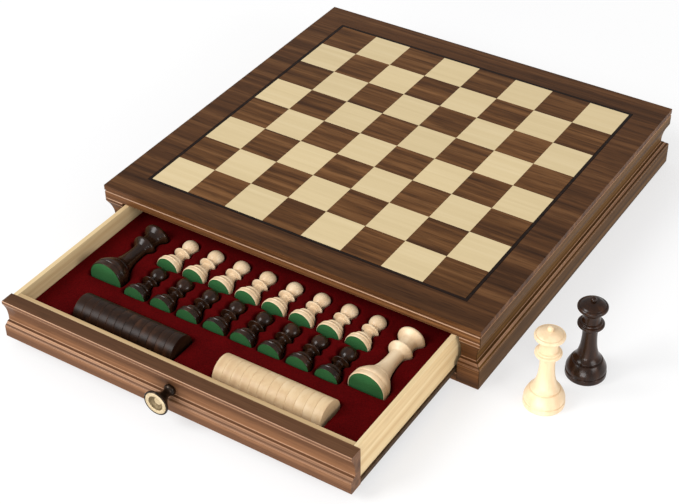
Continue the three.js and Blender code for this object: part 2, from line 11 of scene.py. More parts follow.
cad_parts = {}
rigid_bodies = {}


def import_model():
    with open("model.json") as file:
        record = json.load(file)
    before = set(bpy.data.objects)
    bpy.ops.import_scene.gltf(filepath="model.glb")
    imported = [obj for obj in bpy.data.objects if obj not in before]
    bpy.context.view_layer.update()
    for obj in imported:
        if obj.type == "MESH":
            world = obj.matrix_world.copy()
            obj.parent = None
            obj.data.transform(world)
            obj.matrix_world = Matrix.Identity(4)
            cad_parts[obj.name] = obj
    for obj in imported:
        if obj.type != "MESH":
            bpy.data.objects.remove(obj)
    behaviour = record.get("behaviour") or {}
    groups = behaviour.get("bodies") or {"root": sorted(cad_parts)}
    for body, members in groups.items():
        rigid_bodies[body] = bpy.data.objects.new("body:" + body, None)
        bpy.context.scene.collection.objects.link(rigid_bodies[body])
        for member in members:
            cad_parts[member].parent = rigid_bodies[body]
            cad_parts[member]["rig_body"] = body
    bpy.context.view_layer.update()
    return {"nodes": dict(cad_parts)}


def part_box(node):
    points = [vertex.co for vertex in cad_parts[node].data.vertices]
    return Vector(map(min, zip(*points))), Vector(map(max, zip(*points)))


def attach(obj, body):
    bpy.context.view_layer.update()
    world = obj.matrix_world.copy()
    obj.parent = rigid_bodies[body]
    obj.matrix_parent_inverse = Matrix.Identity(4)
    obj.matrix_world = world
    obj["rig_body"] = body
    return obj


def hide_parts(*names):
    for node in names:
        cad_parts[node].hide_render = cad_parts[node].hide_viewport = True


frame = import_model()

MM = 0.001

# ---- sizes the CAD also has, in millimetres ------------------------------------------------------
SQUARE = 38.0
FIELD_HALF = 152.0
FACE_HALF = 181.3
WALL = 14.0
GAP = 0.3
TOP_FACE = 57.6
FASCIA_TOP = 51.7
RAIL_BOTTOM = 44.9
GROOVE_DEPTH = 1.0
GROOVE_HEIGHT = 1.2
PLINTH_PROUD = 1.1
PLINTH_HEIGHT = 19.9
BEAD_DEPTH = 3.1
COVE_DEPTH = 4.5
COVE_BOTTOM = 23.2
COVE_CURVE_BOTTOM = 26.4
COVE_TOP = 41.5
BOTTOM_RAIL_HEIGHT = 8.6
BAY_HALF = 163.1
DRAUGHT_RADIUS = 14.0

# ---- finer sizes ---------------------------------------------------------------------------------
ARRIS_WIDTH = 0.72  # narrower faces of a moulding are its arrises, which get a painted highlight as edges catching the light
EASE = 0.45  # corner cut off the fascia and the rail
FOOT_EASE = 0.7  # and off the lower edge of the plinth


# ---- materials -----------------------------------------------------------------------------------
def linear(rgb):
    """Colour from 0-255 screen values to the linear values that the shaders use."""
    out = []
    for value in rgb:
        c = value / 255
        out.append(c / 12.92 if c <= 0.04045 else ((c + 0.055) / 1.055) ** 2.4)
    return (*out, 1.0)


class Shader:
    """A material with short ways to add nodes and join them."""

    def __init__(self, name, roughness, metallic=0.0):
        self.material = bpy.data.materials.new(name)
        self.material.use_nodes = True
        self.tree = self.material.node_tree
        self.bsdf = self.tree.nodes["Principled BSDF"]
        self.bsdf.inputs["Roughness"].default_value = roughness
        self.bsdf.inputs["Metallic"].default_value = metallic
        self.coordinates = self.node("ShaderNodeTexCoord").outputs["Object"]

    def node(self, kind, **values):
        made = self.tree.nodes.new(kind)
        for key, value in values.items():
            setattr(made, key, value)
        return made

    def join(self, source, target):
        self.tree.links.new(source, target)

    def stretch(self, scale, offset=None):
        """The object's coordinates, scaled along each axis, moved by offset if there is one."""
        source = self.coordinates
        if offset is not None:
            add = self.node("ShaderNodeVectorMath", operation="ADD")
            self.join(source, add.inputs[0])
            self.join(offset, add.inputs[1])
            source = add.outputs[0]
        mapping = self.node("ShaderNodeMapping")
        mapping.inputs["Scale"].default_value = scale
        self.join(source, mapping.inputs["Vector"])
        return mapping.outputs[0]

    def noise(self, vector, detail=4.0, roughness=0.6, distortion=0.0):
        made = self.node("ShaderNodeTexNoise")
        made.inputs["Scale"].default_value = 1.0
        made.inputs["Detail"].default_value = detail
        made.inputs["Roughness"].default_value = roughness
        made.inputs["Distortion"].default_value = distortion
        self.join(vector, made.inputs["Vector"])
        return made.outputs["Fac"]

    def ramp(self, source, stops):
        made = self.node("ShaderNodeValToRGB")
        elements = made.color_ramp.elements
        while len(elements) < len(stops):
            elements.new(0.5)
        for element, (place, colour) in zip(elements, stops):
            element.position = place
            element.color = colour
        self.join(source, made.inputs[0])
        return made.outputs[0]

    def grey(self, source, low, high, dark, light):
        return self.ramp(source, [(low, (dark,) * 3 + (1,)), (high, (light,) * 3 + (1,))])

    def multiply(self, a, b):
        made = self.node("ShaderNodeMix", data_type="RGBA", blend_type="MULTIPLY")
        made.inputs["Factor"].default_value = 1.0
        self.join(a, made.inputs["A"])
        self.join(b, made.inputs["B"])
        return made.outputs["Result"]

    def colour(self, source):
        self.join(source, self.bsdf.inputs["Base Color"])

    def bump(self, source, height, distance=MM):
        made = self.node("ShaderNodeBump")
        made.inputs["Strength"].default_value = height
        made.inputs["Distance"].default_value = distance
        self.join(source, made.inputs["Height"])
        self.join(made.outputs[0], self.bsdf.inputs["Normal"])


AXES = {"X": 0, "Y": 1, "Z": 2}


def along(axis, slow, fast):
    scale = [fast, fast, fast]
    scale[AXES[axis]] = slow
    return scale


def wood(name, tones, grain, roughness, figure, fibre, pores, tiles=0.0, shine=0.12, painted_top_shade=1.0):
    """Wood with its grain along one axis, its tones dark, middle and light.

    tiles is the spread in tone between squares; the last argument is painted shade, the tone the faces that
    look up are darkened to against the sides."""
    s = Shader(name, roughness)
    offset = None
    if tiles:
        shift = s.node("ShaderNodeVectorMath", operation="ADD")
        shift.inputs[1].default_value = (FIELD_HALF * MM,) * 3
        s.join(s.coordinates, shift.inputs[0])
        cell = s.node("ShaderNodeVectorMath", operation="SCALE")
        cell.inputs["Scale"].default_value = 1 / (SQUARE * MM)
        s.join(shift.outputs[0], cell.inputs[0])
        floor = s.node("ShaderNodeVectorMath", operation="FLOOR")
        s.join(cell.outputs[0], floor.inputs[0])
        number = s.node("ShaderNodeTexWhiteNoise", noise_dimensions="2D")
        s.join(floor.outputs[0], number.inputs["Vector"])
        offset = number.outputs["Color"]
    broad = s.noise(s.stretch(along(grain, *figure), offset), 5.0, 0.55, 0.35)
    colour = s.ramp(broad, list(zip((0.3, 0.52, 0.74), (linear(t) for t in tones))))
    fine = s.noise(s.stretch(along(grain, 22, 1100), offset), 3.0, 0.7)
    colour = s.multiply(colour, s.grey(fine, 0.3, 0.7, 1 - fibre, 1.0))
    if pores:
        streak = s.noise(s.stretch(along(grain, 45, 700), offset), 2.0, 0.5)
        colour = s.multiply(colour, s.grey(streak, 0.36, 0.46, 1 - pores, 1.0))
    if tiles:
        colour = s.multiply(colour, s.grey(number.outputs["Value"], 0.0, 1.0, 1 - tiles, 1.0))
    # painted shade: faces that look up are darkened against the sides, for how the light falls
    if painted_top_shade < 1.0:
        parts = s.node("ShaderNodeSeparateXYZ")
        s.join(s.node("ShaderNodeNewGeometry").outputs["Normal"], parts.inputs[0])
        colour = s.multiply(colour, s.grey(parts.outputs["Z"], 0.6, 0.9, 1.0, painted_top_shade))
    s.colour(colour)
    s.bump(fine, 0.08, 0.2 * MM)
    s.bsdf.inputs["Specular IOR Level"].default_value = shine
    return s.material


WALNUT = ((60, 35, 15), (93, 57, 28), (126, 83, 45))
TILE = ((72, 43, 21), (107, 69, 36), (142, 98, 58))
MAPLE = ((221, 199, 154), (226, 204, 159), (232, 211, 168))
MOULDED = ((88, 57, 37), (114, 77, 51), (142, 100, 70))
SIDE_RAIL = ((66, 42, 17), (97, 65, 30), (130, 94, 50))
# painted highlight: the lighter tone of arrises catching the light
ARRIS_HIGHLIGHT = ((140, 100, 70), (172, 130, 98), (196, 154, 120))
RAIL = ((70, 42, 21), (104, 66, 36), (140, 96, 58))
DRAWER = ((214, 180, 132), (230, 202, 154), (240, 216, 172))
LINING = ((176, 143, 102), (195, 165, 122), (208, 181, 141))
PALE = ((228, 196, 156), (238, 210, 172), (246, 224, 190))
DISC = ((216, 182, 140), (229, 199, 156), (239, 213, 173))
EBONY = ((28, 14, 7), (45, 25, 13), (70, 42, 25))

walnut_top = wood("walnut_top", WALNUT, "X", 0.45, (3, 130), 0.2, 0.3)
# painted shade: the top panel's up-facing face is darker than its lighter edges
walnut_panel = wood("walnut_panel", RAIL, "X", 0.45, (3, 130), 0.2, 0.3, painted_top_shade=0.76)
walnut_tile = wood("walnut_tile", TILE, "X", 0.45, (6, 150), 0.2, 0.3, tiles=0.2)
maple_tile = wood("maple_tile", MAPLE, "X", 0.45, (5, 170), 0.04, 0.0, tiles=0.05)
# painted shade: the drawer front moulding's up-facing faces are darker than its fronts
moulded_x = wood("moulded_x", MOULDED, "X", 0.42, (1.2, 150), 0.14, 0.16, painted_top_shade=0.72)
# painted highlight for the arrises of the mouldings and the top panel
arris_highlight = wood("arris_highlight", ARRIS_HIGHLIGHT, "X", 0.4, (2, 200), 0.1, 0.1, shine=0.3)
rail_x = wood("rail_x", RAIL, "X", 0.42, (1.5, 230), 0.2, 0.25)
side_rail = wood("side_rail", SIDE_RAIL, "X", 0.45, (1.5, 200), 0.16, 0.2, shine=0.06)
drawer_x = wood("drawer_x", LINING, "X", 0.5, (3, 150), 0.06, 0.05)
drawer_y = wood("drawer_y", DRAWER, "Y", 0.5, (3, 150), 0.06, 0.05)
panel = wood("panel_wood", ((60, 44, 30), (78, 58, 40), (96, 73, 51)), "X", 0.65, (8, 90), 0.2, 0.3)
line_wood = wood("inlay_wood", ((18, 9, 5), (30, 16, 9), (44, 26, 16)), "X", 0.45, (8, 200), 0.15, 0.1)
pale_wood = wood("pale_wood", PALE, "Z", 0.34, (14, 120), 0.03, 0.0, shine=0.35)
ebony = wood("dark_wood", EBONY, "Z", 0.24, (12, 140), 0.15, 0.2, shine=0.28)
pale_disc = wood("pale_disc", DISC, "Y", 0.4, (25, 110), 0.05, 0.0, shine=0.25)
ebony_disc = wood("dark_disc", EBONY, "Y", 0.4, (20, 140), 0.12, 0.1, shine=0.2)


def cloth(name, tones, pile):
    s = Shader(name, 0.95)
    tuft = s.noise(s.stretch((pile,) * 3), 3.0, 0.65)
    patch = s.noise(s.stretch((55,) * 3), 3.0, 0.5)
    colour = s.ramp(tuft, list(zip((0.28, 0.5, 0.75), (linear(t) for t in tones))))
    s.colour(s.multiply(colour, s.grey(patch, 0.3, 0.7, 0.78, 1.0)))
    s.bump(tuft, 0.55, 0.35 * MM)
    s.bsdf.inputs["Specular IOR Level"].default_value = 0.05
    return s.material


velvet = cloth("red_flock", ((62, 1, 3), (88, 4, 6), (108, 7, 10)), 1500)
felt = cloth("green_felt", ((44, 88, 50), (54, 105, 60), (66, 120, 71)), 1300)


def metal(name, tones, roughness, metallic=1.0):
    s = Shader(name, roughness, metallic)
    stain = s.noise(s.stretch((320,) * 3), 4.0, 0.6)
    s.colour(s.ramp(stain, list(zip((0.3, 0.5, 0.72), (linear(t) for t in tones)))))
    scratch = s.noise(s.stretch((2600,) * 3), 2.0, 0.5)
    s.bump(scratch, 0.06, 0.1 * MM)
    return s.material


brass = metal("aged_brass", ((176, 156, 120), (196, 176, 140), (212, 194, 160)), 0.5, 0.4)
# painted shade: darker brass for the knob's dished bowl
bowl_shade_brass = metal("bowl_shade_brass", ((92, 78, 54), (118, 101, 72), (146, 128, 96)), 0.55, 0.5)
bronze = metal("dark_bronze", ((26, 19, 13), (44, 33, 24), (66, 50, 36)), 0.28, 0.7)
steel = metal("plain_steel", ((128, 128, 126), (150, 150, 148), (170, 170, 168)), 0.35)


# ---- mesh helpers --------------------------------------------------------------------------------
def finish_mesh(name, mesh, material, sharp=32.0):
    """Smooth faces, with the edges sharper than that many degrees kept crisp."""
    bm = bmesh.new()
    bm.from_mesh(mesh)
    bmesh.ops.remove_doubles(bm, verts=bm.verts, dist=1e-7)
    bmesh.ops.recalc_face_normals(bm, faces=bm.faces)
    limit = math.radians(sharp)
    for face in bm.faces:
        face.smooth = True
    for edge in bm.edges:
        edge.smooth = len(edge.link_faces) == 2 and edge.calc_face_angle(0.0) < limit
    bm.to_mesh(mesh)
    bm.free()
    mesh.name = name
    mesh.materials.clear()
    mesh.materials.append(material)
    return mesh


def mesh_of(name, vertices, faces, material, sharp=32.0):
    """A mesh from millimetres."""
    mesh = bpy.data.meshes.new(name)
    mesh.from_pydata([tuple(c * MM for c in v) for v in vertices], [], faces)
    return finish_mesh(name, mesh, material, sharp)


def put(name, mesh, body, replaces=(), matrix=None):
    """A piece that shows mesh, in its place in millimetres, and moves with body."""
    piece = bpy.data.objects.new(name, mesh)
    bpy.context.scene.collection.objects.link(piece)
    if matrix is not None:
        place = matrix.copy()
        place.translation = place.translation * MM
        piece.matrix_world = place
    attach(piece, body)
    if replaces:
        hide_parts(*replaces)
    return piece


def rounded(points, steps=4):
    """A line through [a, b, fillet] corners, each corner cut back by its fillet and bent round."""
    line = []
    for i, point in enumerate(points):
        here = np.array(point[:2], float)
        size = point[2] if len(point) > 2 else 0.0
        if not size or i in (0, len(points) - 1):
            line.append(tuple(here))
            continue
        before = np.array(points[i - 1][:2], float) - here
        after = np.array(points[i + 1][:2], float) - here
        size = min(size, np.linalg.norm(before) / 2.01, np.linalg.norm(after) / 2.01)
        start = here + before / np.linalg.norm(before) * size
        end = here + after / np.linalg.norm(after) * size
        for k in range(steps + 1):
            t = k / steps
            line.append(tuple((1 - t) ** 2 * start + 2 * t * (1 - t) * here + t * t * end))
    return line


def arc(centre, radius, start, end, steps=16):
    """Points of an arc in the (a, b) plane, angles in degrees from the a axis."""
    angles = np.radians(np.linspace(start, end, steps + 1))
    return [(centre[0] + radius * math.cos(t), centre[1] + radius * math.sin(t)) for t in angles]


def lathe(name, line, material, segments=64, sharp=32.0):
    """A closed turned solid about Z from (radius, height) points that start and end on the axis."""
    inner = line[1:-1]
    vertices = [(0, 0, line[0][1])]
    for radius, height in inner:
        for k in range(segments):
            angle = 2 * math.pi * k / segments
            vertices.append((radius * math.cos(angle), radius * math.sin(angle), height))
    vertices.append((0, 0, line[-1][1]))
    faces = []
    for k in range(segments):
        after = (k + 1) % segments
        faces.append((0, 1 + after, 1 + k))
        for ring in range(len(inner) - 1):
            low = 1 + ring * segments
            high = low + segments
            faces.append((low + k, low + after, high + after, high + k))
        last = 1 + (len(inner) - 1) * segments
        faces.append((last + k, last + after, len(vertices) - 1))
    return mesh_of(name, vertices, faces, material, sharp)


def prism_faces(count):
    """Faces between two rings of count vertices each, closed at both ends."""
    faces = [(i, (i + 1) % count, count + (i + 1) % count, count + i) for i in range(count)]
    return faces + [tuple(reversed(range(count))), tuple(range(count, 2 * count))]


def paint_arris_highlights(mesh, outline):
    """Gives the faces over the narrow steps of a bar's outline the lighter material, a painted highlight of
    edges catching the light.
    """
    mesh.materials.append(arris_highlight)
    steps = zip(outline, outline[1:] + outline[:1])
    narrow = [step for step in steps if math.dist(*step) < ARRIS_WIDTH]
    for face in mesh.polygons:
        corners = [mesh.vertices[v].co for v in face.vertices]
        heights = {round(corner.z / MM, 3) for corner in corners}
        outward = {round(-corner.y / MM - FACE_HALF, 3) for corner in corners}
        for (a0, b0), (a1, b1) in narrow:
            if heights == {round(b0, 3), round(b1, 3)} and outward == {round(a0, 3), round(a1, 3)}:
                face.material_index = 1


def bar(name, outline, left, right, material):
    """A bar along X from an (outward, height) outline, each end given as a function of outward."""
    vertices = [(left(a), -FACE_HALF - a, b) for a, b in outline]
    vertices += [(right(a), -FACE_HALF - a, b) for a, b in outline]
    mesh = mesh_of(name, vertices, prism_faces(len(outline)), material, 40.0)
    paint_arris_highlights(mesh, outline)
    return mesh


def bevelled(obj, width, segments=3, angle=30.0):
    """Rounds the edges of a piece a little, as sanding does."""
    modifier = obj.modifiers.new("eased_edges", "BEVEL")
    modifier.width = width * MM
    modifier.segments = segments
    modifier.limit_method = "ANGLE"
    modifier.angle_limit = math.radians(angle)
    modifier.harden_normals = False
    return obj


def applied(mesh, *changes):
    """A new mesh: the given one after modifiers, each a (kind, settings) pair."""
    holder = bpy.data.objects.new("holder", mesh)
    bpy.context.scene.collection.objects.link(holder)
    for kind, settings in changes:
        modifier = holder.modifiers.new(kind.lower(), kind)
        for key, value in settings.items():
            setattr(modifier, key, value)
    evaluated = holder.evaluated_get(bpy.context.evaluated_depsgraph_get())
    made = bpy.data.meshes.new_from_object(evaluated)
    bpy.data.objects.remove(holder)
    return made


def cutter(name, vertices, faces):
    mesh = bpy.data.meshes.new(name)
    mesh.from_pydata([tuple(c * MM for c in v) for v in vertices], [], faces)
    made = bpy.data.objects.new(name, mesh)
    bpy.context.scene.collection.objects.link(made)
    return made


def block(x0, x1, y0, y1, z0, z1):
    vertices = [(x, y, z) for x in (x0, x1) for y in (y0, y1) for z in (z0, z1)]
    faces = [(0, 1, 3, 2), (4, 6, 7, 5), (0, 4, 5, 1), (2, 3, 7, 6), (0, 2, 6, 4), (1, 5, 7, 3)]
    return vertices, faces


def dress(node, material, ease=0.0, painted_edges=False):
    """A better material for a CAD node that stays, and eased edges if ease is given, with a painted
    highlight on the eased edges if the last argument is set.
    """
    obj = frame["nodes"][node]
    obj.data.materials.clear()
    obj.data.materials.append(material)
    if ease:
        bevelled(obj, ease)
    if painted_edges:
        obj.data.materials.append(arris_highlight)
        obj.modifiers["eased_edges"].material = 1
    return obj


# ---- moulding ------------------------------------------------------------------------------------
def moulding_line(low, high):
    """Outer line of the moulding as (outward, height), with eased corners."""
    rise = COVE_TOP - COVE_CURVE_BOTTOM
    radius = (rise**2 + COVE_DEPTH**2) / (2 * COVE_DEPTH)
    sweep = math.degrees(math.asin(rise / radius))
    cove = arc((radius - COVE_DEPTH, COVE_CURVE_BOTTOM), radius, 180.0, 180.0 - sweep, 14)
    plinth = [
        (PLINTH_PROUD - FOOT_EASE, low),
        (PLINTH_PROUD, low + FOOT_EASE),
        (PLINTH_PROUD, PLINTH_HEIGHT, 0.6),
        (PLINTH_PROUD - 2.2, PLINTH_HEIGHT + 1.5, 0.8),
        (PLINTH_PROUD - BEAD_DEPTH, PLINTH_HEIGHT + 1.9, 0.4),
        (PLINTH_PROUD - BEAD_DEPTH, COVE_BOTTOM - 0.7, 0.3),
        (-COVE_DEPTH, COVE_BOTTOM, 0.4),
        (-COVE_DEPTH, COVE_CURVE_BOTTOM),
    ]
    fascia = [(-0.3, COVE_TOP - 0.35), (0, COVE_TOP + 0.25), (0, high - 0.5), (-EASE, high)]
    return rounded(plinth) + cove[1:-1] + fascia


def section(line, depth, top_groove=False):
    """The outer line closed with the flat back of the board."""
    closed = list(line)
    if top_groove:
        closed += [(-GROOVE_DEPTH, FASCIA_TOP), (-GROOVE_DEPTH, FASCIA_TOP + GROOVE_HEIGHT - GAP)]
    return closed + [(-depth, closed[-1][1]), (-depth, line[0][1])]


def mitre(outward):
    return FACE_HALF + outward - GAP


def left_mitre(outward):
    return -mitre(outward)


def at(place):
    return lambda outward: place


wall = section(moulding_line(0, FASCIA_TOP), WALL, True)
for node, turn in (("left_wall", -90), ("back_wall", 180), ("right_wall", 90)):
    mesh = bar(node + "_moulding", wall, left_mitre, mitre, side_rail)
    put(node + "_moulding", mesh, "case", (node,), Matrix.Rotation(math.radians(turn), 4, "Z"))

rail_line = [(-EASE, RAIL_BOTTOM), (0, RAIL_BOTTOM + 0.5), (0, FASCIA_TOP - 0.5), (-EASE, FASCIA_TOP)]
stile = section(moulding_line(0, RAIL_BOTTOM - GAP), WALL)
low_rail_line = [
    (PLINTH_PROUD - FOOT_EASE, 0),
    (PLINTH_PROUD, FOOT_EASE),
    (PLINTH_PROUD, BOTTOM_RAIL_HEIGHT - 0.5),
    (PLINTH_PROUD - 0.4, BOTTOM_RAIL_HEIGHT),
]
top_rail = section(rail_line, WALL, True)
low_rail = section(low_rail_line, WALL)
rail_end = BAY_HALF - GAP
front_frame = (
    ("top_rail", "front_top_rail", top_rail, left_mitre, mitre, rail_x),
    ("stile_right", "right_front_stile", stile, at(BAY_HALF), mitre, walnut_top),
    ("stile_left", "left_front_stile", stile, left_mitre, at(-BAY_HALF), walnut_top),
    ("low_rail", "front_bottom_rail", low_rail, at(-rail_end), at(rail_end), rail_x),
)
for name, node, outline, left, right, material in front_frame:
    put(name, bar(name, outline, left, right, material), "case", (node,))

# the top panel's eased edges get the painted highlight
dress("top_panel", walnut_panel, 0.5, painted_edges=True)
dress("inlay_line", line_wood)
dress("case_bottom_panel", panel)
dress("left_runner", drawer_y, 0.4)
dress("right_runner", drawer_y, 0.4)


# ---- playing field -------------------------------------------------------------------------------
VENEER = 0.6
TILE_HALF = SQUARE / 2 - 0.02
TILE_EASE = 0.05


def tile(x, y):
    """Vertices and faces of one square about (x, y): three rings of four corners."""
    corners = ((-1, -1), (1, -1), (1, 1), (-1, 1))
    vertices = []
    for half, z in (
        (TILE_HALF, TOP_FACE - VENEER),
        (TILE_HALF, TOP_FACE - TILE_EASE),
        (TILE_HALF - TILE_EASE, TOP_FACE),
    ):
        vertices += [(x + a * half, y + b * half, z) for a, b in corners]
    faces = [(3, 2, 1, 0), (8, 9, 10, 11)]
    for ring in (0, 4):
        for k in range(4):
            after = (k + 1) % 4
            faces.append((ring + k, ring + after, ring + 4 + after, ring + 4 + k))
    return vertices, faces


def squares(name, odd, material):
    """The squares of one colour, each its own thin tile with eased edges."""
    vertices, faces = [], []
    for i in range(8):
        for j in range(8):
            if (i + j) % 2 != odd:
                continue
            base = len(vertices)
            tile_vertices, tile_faces = tile((i - 3.5) * SQUARE, (j - 3.5) * SQUARE)
            vertices += tile_vertices
            faces += [tuple(base + v for v in face) for face in tile_faces]
    return mesh_of(name, vertices, faces, material, 20.0)


put("light_squares", squares("light_squares", 0, maple_tile), "case", ("playing_field",))
put("dark_squares", squares("dark_squares", 1, walnut_tile), "case")

# ---- drawer --------------------------------------------------------------------------------------
dress("drawer_inner_front", drawer_x, 0.5)
dress("drawer_left_side", drawer_y, 0.5)
dress("drawer_right_side", drawer_y, 0.5)
dress("drawer_back", drawer_x, 0.5)
dress("drawer_bottom", panel, 0.3)
dress("knob_screw", steel, 0.2)

front_low, front_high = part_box("drawer_front")
front_half = front_high.x / MM
front_y = front_low.y / MM + PLINTH_PROUD
thickness = front_high.y / MM - front_y
front_outline = section(moulding_line(front_low.z / MM, front_high.z / MM), thickness)
front_mesh = bar("drawer_front_moulding", front_outline, at(-front_half), at(front_half), moulded_x)
front_place = Matrix.Translation((0, front_y + FACE_HALF, 0))
put("drawer_front_moulding", front_mesh, "drawer", ("drawer_front",), front_place)

knob_low, knob_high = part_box("drawer_knob")
knob_z = (knob_low.z + knob_high.z) / 2 / MM
knob_reach = (knob_high.y - knob_low.y) / MM
knob_place = Matrix.Translation((0, knob_high.y / MM, knob_z)) @ Matrix.Rotation(math.pi / 2, 4, "X")
stem = [
    (0, 0),
    (4.2, 0, 0.3),
    (5.0, 1.4, 1.2),
    (5.0, 3.0, 1.2),
    (3.6, 4.6, 1.0),
    (3.2, 7.0, 1.8),
    (4.2, 10.0, 2.0),
    (8.0, knob_reach - 4.6, 2.0),
    (10.6, knob_reach - 2.2, 0.8),
    (10.8, knob_reach - 0.6, 0.5),
    (10.3, knob_reach, 0.3),
    (9.9, knob_reach - 0.1),
    (9.9, knob_reach - 1.8),
    (7.1, knob_reach - 4.3),
    (0, knob_reach - 4.3),
]
knob_mesh = lathe("knob_body", rounded(stem), bronze, 48)
put("knob_body", knob_mesh, "drawer", ("drawer_knob",), knob_place)
dish = [
    (0, knob_reach - 4.1),
    (6.8, knob_reach - 4.1),
    (9.6, knob_reach - 1.6),
    (9.6, knob_reach - 0.4, 0.3),
    (9.1, knob_reach + 0.1, 0.5),
    (6.9, knob_reach + 0.1, 0.5),
    (6.2, knob_reach - 0.5, 0.3),
    (5.8, knob_reach - 1.6, 0.4),
    (4.6, knob_reach - 2.8, 1.0),
    (2.6, knob_reach - 3.1, 1.0),
    (0, knob_reach - 2.7),
]
dish_mesh = lathe("knob_dish", rounded(dish), brass, 48)
# the bowl's faces get the darker brass as painted shade in the dish
dish_mesh.materials.append(bowl_shade_brass)
bowl_floor, bowl_edge = 3.2, 6.4
for face in dish_mesh.polygons:
    distance = math.hypot(face.center.x, face.center.y) / MM
    face.material_index = int(bowl_floor < distance < bowl_edge and face.normal.z > 0)
put("knob_dish", dish_mesh, "drawer", ("knob_face",), knob_place)

# ---- turned pieces -------------------------------------------------------------------------------
FELT = 0.4
FELT_SHARE = 0.945
FOOT_RADIUS = {"pawn": 10.8, "queen": 16.2, "king": 16.2, "bishop": 13.2, "knight": 13.6, "rook": 13.8}
QUEEN_HEIGHT = 76.0
BISHOP_HEIGHT = 62.0
KING_TURNED = 73.0  # height of the turned part, which the cross stands on
KING_HEIGHT = 82.0
SPIN = 1.7  # radians for each unit of a name's number


def foot(radius, band, shoulder):
    """Foot of a turned piece: flat underside with the felt let in, a band, a groove and a second bead."""
    return [
        (0, FELT),
        (radius * FELT_SHARE + 0.05, FELT),
        (radius * FELT_SHARE + 0.1, 0.05),
        (radius - 0.4, 0.0, 0.1),
        (radius, 0.6, 0.5),
        (radius, band, 0.5),
        (radius - 0.9, band + 0.5, 0.2),
        (radius - 0.9, band + 1.0, 0.2),
        (radius - 0.2, band + 1.6, 0.6),
        (radius - 0.3, shoulder, 1.4),
    ]


def pawn_line():
    head = arc((0, 32.0), 7.2, -58, 90, 22)
    return (
        rounded(
            foot(FOOT_RADIUS["pawn"], 3.0, 5.0)
            + [
                (8.9, 7.4, 1.0),
                (7.9, 8.6, 0.2),
                (8.3, 9.4, 0.4),
                (7.8, 10.7, 0.4),
                (6.9, 11.2, 0.3),
                (4.6, 14.6, 2.2),
                (3.5, 18.4, 1.6),
                (4.2, 19.6, 0.3),
                (7.6, 20.1, 0.4),
                (7.8, 20.9, 0.4),
                (6.0, 23.0, 0.8),
                (3.9, 25.2, 0.6),
            ]
        )
        + head
    )


def shared_stem(height, radius, waist, collar):
    """Foot, shoulder and stem up to the collar's top: the queen's, drawn out to height and radius."""
    h = height / QUEEN_HEIGHT
    r = radius / FOOT_RADIUS["queen"]
    return foot(radius, 4.3 * h, 8.2 * h) + [
        (14.0 * r, 12.4 * h, 1.6),
        (12.3 * r, 15.2 * h, 0.4),
        (11.0 * r, 15.5 * h, 0.2),
        (11.3 * r, 16.7 * h, 0.4),
        (9.9 * r, 18.4 * h, 0.9),
        (8.6 * r, 20.6 * h, 0.9),
        (6.7 * r, 27.6 * h, 3.5),
        (waist, 38.0 * h, 4.0),
        (waist + 0.3, 45.6 * h, 0.8),
        (collar - 1.0, 48.6 * h, 0.8),
        (collar, 50.0 * h, 0.6),
        (collar - 0.2, 51.6 * h, 0.5),
        (collar - 1.7, 52.2 * h, 0.3),
        (collar - 2.0, 53.2 * h, 0.3),
    ]


def queen_line():
    return rounded(
        shared_stem(QUEEN_HEIGHT, FOOT_RADIUS["queen"], 5.8, 10.6)
        + [
            (7.2, 53.8, 0.3),
            (7.0, 58.4, 1.0),
            (7.7, 62.0, 1.2),
            (10.8, 64.8, 1.2),
            (11.9, 66.2, 0.6),
            (11.9, 68.0, 0.7),
            (10.8, 69.0, 0.4),
            (10.3, 68.6, 0.2),
            (9.5, 69.6, 0.4),
            (6.4, 71.6, 1.8),
            (3.0, 72.2, 0.5),
            (2.1, 72.4, 0.3),
        ]
    ) + arc((0, 73.5), 2.5, -26, 90, 10)


def king_line(top):
    h = top / QUEEN_HEIGHT
    return rounded(
        shared_stem(top, FOOT_RADIUS["king"], 6.1, 10.8)
        + [
            (7.0, 55.8 * h, 0.4),
            (6.8, 58.0 * h, 1.0),
            (7.6, 62.0 * h, 1.6),
            (10.6, 70.5 * h, 0.8),
            (10.9, 72.0 * h, 0.5),
            (9.6, 73.0 * h, 0.8),
            (4.0, 75.2 * h, 1.2),
            (2.1, top, 0.3),
            (0, top),
        ]
    )


def bishop_line():
    h = BISHOP_HEIGHT / QUEEN_HEIGHT
    return rounded(
        shared_stem(BISHOP_HEIGHT, FOOT_RADIUS["bishop"], 4.6, 8.8)
        + [
            (5.4, 55.0 * h, 0.4),
            (5.2, 56.4 * h, 0.8),
            (7.2, 60.0 * h, 1.4),
            (7.4, 63.6 * h, 1.4),
            (5.6, 68.6 * h, 1.6),
            (2.4, 72.4 * h, 0.6),
            (1.6, 73.0 * h, 0.3),
            (2.0, 74.3 * h, 0.6),
            (1.2, 75.8 * h, 0.6),
            (0, BISHOP_HEIGHT),
        ]
    )


def rook_line():
    return rounded(
        foot(FOOT_RADIUS["rook"], 3.8, 6.6)
        + [
            (12.0, 9.6, 1.2),
            (10.0, 11.2, 0.4),
            (10.2, 12.2, 0.4),
            (8.6, 16.0, 2.0),
            (7.6, 22.0, 2.5),
            (7.7, 28.6, 0.8),
            (9.4, 31.2, 0.8),
            (9.6, 32.6, 0.4),
            (8.6, 33.2, 0.3),
            (10.2, 35.6, 1.0),
            (10.6, 37.0, 0.5),
            (10.6, 46.0, 0.3),
            (7.4, 46.0, 0.3),
            (7.4, 40.8, 0.3),
            (0, 40.4),
        ]
    )


def joined(name, material, *parts):
    """One mesh from several closed meshes that overlap, given as (vertices, faces)."""
    vertices, faces = [], []
    for part_vertices, part_faces in parts:
        base = len(vertices)
        vertices += part_vertices
        faces += [tuple(base + i for i in face) for face in part_faces]
    return mesh_of(name, vertices, faces, material)


